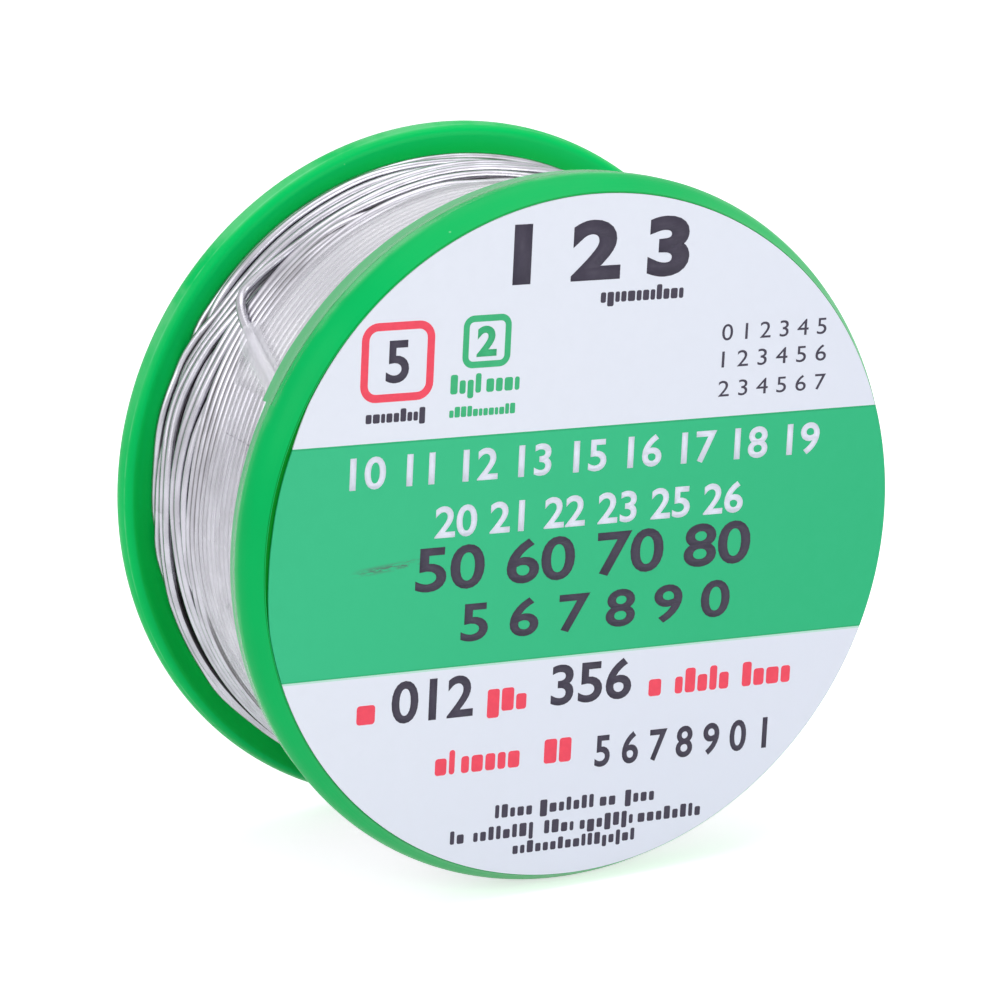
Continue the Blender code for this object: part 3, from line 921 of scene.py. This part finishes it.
def frame_mark(name, centre, size, line, material):
    """A plain rounded square outline."""
    bm = bmesh.new()
    bmesh.ops.create_grid(bm, x_segments=1, y_segments=1, size=size / 2 * MM,
                          matrix=Matrix.Translation((centre[0] * MM, centre[1] * MM, 0)))
    rounded(bm, size * 0.22 * MM, 8)
    inner = bmesh.ops.inset_region(bm, faces=bm.faces[:], thickness=line * MM, use_boundary=True,
                                   use_even_offset=True)["faces"]
    bmesh.ops.delete(bm, geom=[f for f in bm.faces if f not in inner], context="FACES_ONLY")
    printed(name, bm, material)


def print_on_label():
    """Plain numerals, blank marks and two plain frames where the real label has its print."""
    dark = ink("ink_dark", linear(66, 61, 76))
    white = ink("ink_white", linear(226, 230, 243))
    red = ink("ink_red", linear(240, 76, 96))
    green = ink("ink_green", linear(60, 178, 120))

    numerals("print_top_number", "1 2 3", (-6.6, 6.9, 18.0, 22.2), dark, 0.045)
    word_marks("print_top_marks", [(0.2, 6.6)], 16.45, 0.72, dark, 3)
    frame_mark("print_red_frame", (-14.9, 13.35), 5.4, 0.55, red)
    numerals("print_first_digit", "5", (-15.75, -14.05, 11.9, 14.8), dark, 0.02)
    word_marks("print_first_marks", [(-17.1, -12.5)], 9.25, 0.62, dark, 5)
    frame_mark("print_green_frame", (-8.3, 14.35), 3.6, 0.45, green)
    numerals("print_second_digit", "2", (-9.05, -7.55, 13.3, 15.4), green, 0.04)
    word_marks("print_green_marks", [(-10.9, -8.6), (-8.2, -5.7)], 10.85, 0.92, green, 7)
    word_marks("print_green_small", [(-10.9, -5.8)], 9.25, 0.5, green, 9)
    numerals("print_right_1", "0 1 2 3 4 5", (9.85, 18.2, 13.25, 14.40), dark)
    numerals("print_right_2", "1 2 3 4 5 6", (9.95, 18.3, 11.35, 12.50), dark)
    numerals("print_right_3", "2 3 4 5 6 7", (9.80, 18.4, 9.30, 10.42), dark)

    numerals("print_band_upper", "10 11 12 13 15 16 17 18 19", (-18.1, 18.2, 4.72, 7.02), white,
             0.02)
    numerals("print_band_lower", "20 21 22 23 25 26", (-11.6, 12.3, 0.95, 3.2), white, 0.02)
    numerals("print_band_number_1", "50 60 70 80", (-12.9, 13.1, -2.75, 0.42), dark, 0.02)
    numerals("print_band_number_2", "5 6 7 8 9 0", (-9.3, 11.7, -6.5, -3.75), dark, 0.02)

    word_marks("print_red_marks_1", [(-16.9, -15.3)], -11.6, 1.35, red, 21, narrow=1.2)
    numerals("print_number_3", "012", (-14.3, -8.1, -11.8, -8.8), dark, 0.02)
    word_marks("print_red_marks_2", [(-7.0, -3.9)], -11.65, 1.12, red, 22)
    numerals("print_number_4", "356", (-2.1, 4.2, -11.7, -8.75), dark, 0.02)
    word_marks("print_red_marks_3", [(5.6, 7.1), (7.7, 12.0), (13.1, 17.2)], -11.75, 1.22, red, 23)
    word_marks("print_red_marks_4", [(-10.8, -9.3), (-8.8, -4.0), (-2.4, -0.1)], -15.8, 1.2, red,
               24)
    numerals("print_number_5", "5 6 7 8 9 0 1", (1.6, 15.4, -16.5, -14.15), dark, 0.02)
    word_marks("print_small_1", [(-6.0, -2.9), (-2.5, 1.7), (2.2, 3.8), (4.2, 6.5)],
               -19.35, 0.66, dark, 31, gap=0.3)
    word_marks("print_small_2", [(-9.4, -8.2), (-7.6, -2.6), (-2.1, 0.2), (0.7, 4.9), (5.3, 10.3)],
               -20.87, 0.66, dark, 32, gap=0.3)
    word_marks("print_small_3", [(-4.5, 5.2)], -22.1, 0.6, dark, 33, gap=0.3)


# ---------------------------------------------------------------- studio

FLOOR_GLOW = 0.62               # lifts the floor to white in the picture and in reflections
FILL = (0.95, 0.96, 1.0, 1.0)   # the light that comes from all sides
FILL_STRENGTH = 0.36
SOFTBOXES = [                   # name, place, size and power
    ("softbox_left", (-0.42, -0.10, 0.28), 0.34, 0.80),
    ("softbox_top", (0.05, 0.05, 0.50), 0.45, 1.0),
    ("softbox_front", (0.20, -0.60, 0.22), 0.45, 1.80)]


def higher(tree, first, second):
    return add_node(tree, "ShaderNodeMath", first, second, operation="MAXIMUM").outputs[0]


def white_floor():
    bm = bmesh.new()
    bmesh.ops.create_grid(bm, x_segments=1, y_segments=1, size=3.0)
    mesh = mesh_of("studio_floor", bm, outwards=False)
    paint = bpy.data.materials.new("studio_white")
    paint.use_nodes = True
    tree = paint.node_tree
    shader = tree.nodes["Principled BSDF"]
    shader.inputs["Base Color"].default_value = (0.86, 0.86, 0.87, 1.0)
    shader.inputs["Roughness"].default_value = 0.9
    shader.inputs["Specular IOR Level"].default_value = 0.1
    shader.inputs["Emission Color"].default_value = (1.0, 1.0, 1.0, 1.0)
    ray = add_node(tree, "ShaderNodeLightPath").outputs
    seen = higher(tree, ray["Is Camera Ray"], ray["Is Glossy Ray"])
    glow = add_node(tree, "ShaderNodeMath", seen, FLOOR_GLOW, operation="MULTIPLY")
    tree.links.new(glow.outputs[0], shader.inputs["Emission Strength"])
    mesh.materials.append(paint)
    floor = bpy.data.objects.new("studio_floor", mesh)
    bpy.context.scene.collection.objects.link(floor)


def backdrop():
    """White behind the spool and in reflections, and a dimmer, bluish fill light."""
    world = bpy.data.worlds.new("studio")
    world.use_nodes = True
    bpy.context.scene.world = world
    tree = world.node_tree
    tree.nodes.clear()
    fill = add_node(tree, "ShaderNodeBackground", FILL, FILL_STRENGTH)
    white = add_node(tree, "ShaderNodeBackground", (1.0, 1.0, 1.0, 1.0), 1.0)
    ray = add_node(tree, "ShaderNodeLightPath").outputs
    bounced = higher(tree, ray["Is Glossy Ray"], ray["Is Transmission Ray"])
    shown = higher(tree, ray["Is Camera Ray"], bounced)
    mixed = add_node(tree, "ShaderNodeMixShader", shown, fill.outputs[0], white.outputs[0])
    output = tree.nodes.new("ShaderNodeOutputWorld")
    tree.links.new(mixed.outputs[0], output.inputs["Surface"])


def softbox(name, place, size, power):
    light = bpy.data.lights.new(name, "AREA")
    light.shape = "SQUARE"
    light.size = size
    light.energy = power
    lamp = bpy.data.objects.new(name, light)
    bpy.context.scene.collection.objects.link(lamp)
    lamp.location = place
    aim = Vector((0, 0, AXIS)) - Vector(place)
    lamp.rotation_euler = aim.to_track_quat("-Z", "Y").to_euler()


def studio():
    white_floor()
    backdrop()
    for box in SOFTBOXES:
        softbox(*box)


LENS = 172.08                   # millimetres, on a sensor of SENSOR millimetres
SENSOR = 36.0
AZIMUTH = math.radians(-27.49)
ELEVATION = math.radians(15.68)
DISTANCE = 0.3359
TARGET = Vector((-0.37 * MM, -0.12 * MM, 24.85 * MM))


def fitted_camera():
    """The camera as it was fitted to the photo."""
    scene = bpy.context.scene
    camera = bpy.data.cameras.new("camera")
    camera.lens = LENS
    camera.sensor_width = SENSOR
    camera.clip_start = 0.01
    holder = bpy.data.objects.new("camera", camera)
    scene.collection.objects.link(holder)
    back = Vector((math.sin(AZIMUTH) * math.cos(ELEVATION),
                   -math.cos(AZIMUTH) * math.cos(ELEVATION), math.sin(ELEVATION)))
    holder.location = TARGET + back * DISTANCE
    holder.rotation_euler = back.to_track_quat("Z", "Y").to_euler()
    scene.camera = holder
    scene.view_settings.view_transform = "Standard"


fitted_camera()
studio()
front_moulding()
rear_moulding()
winding()
tape()
paper_label()
print_on_label()
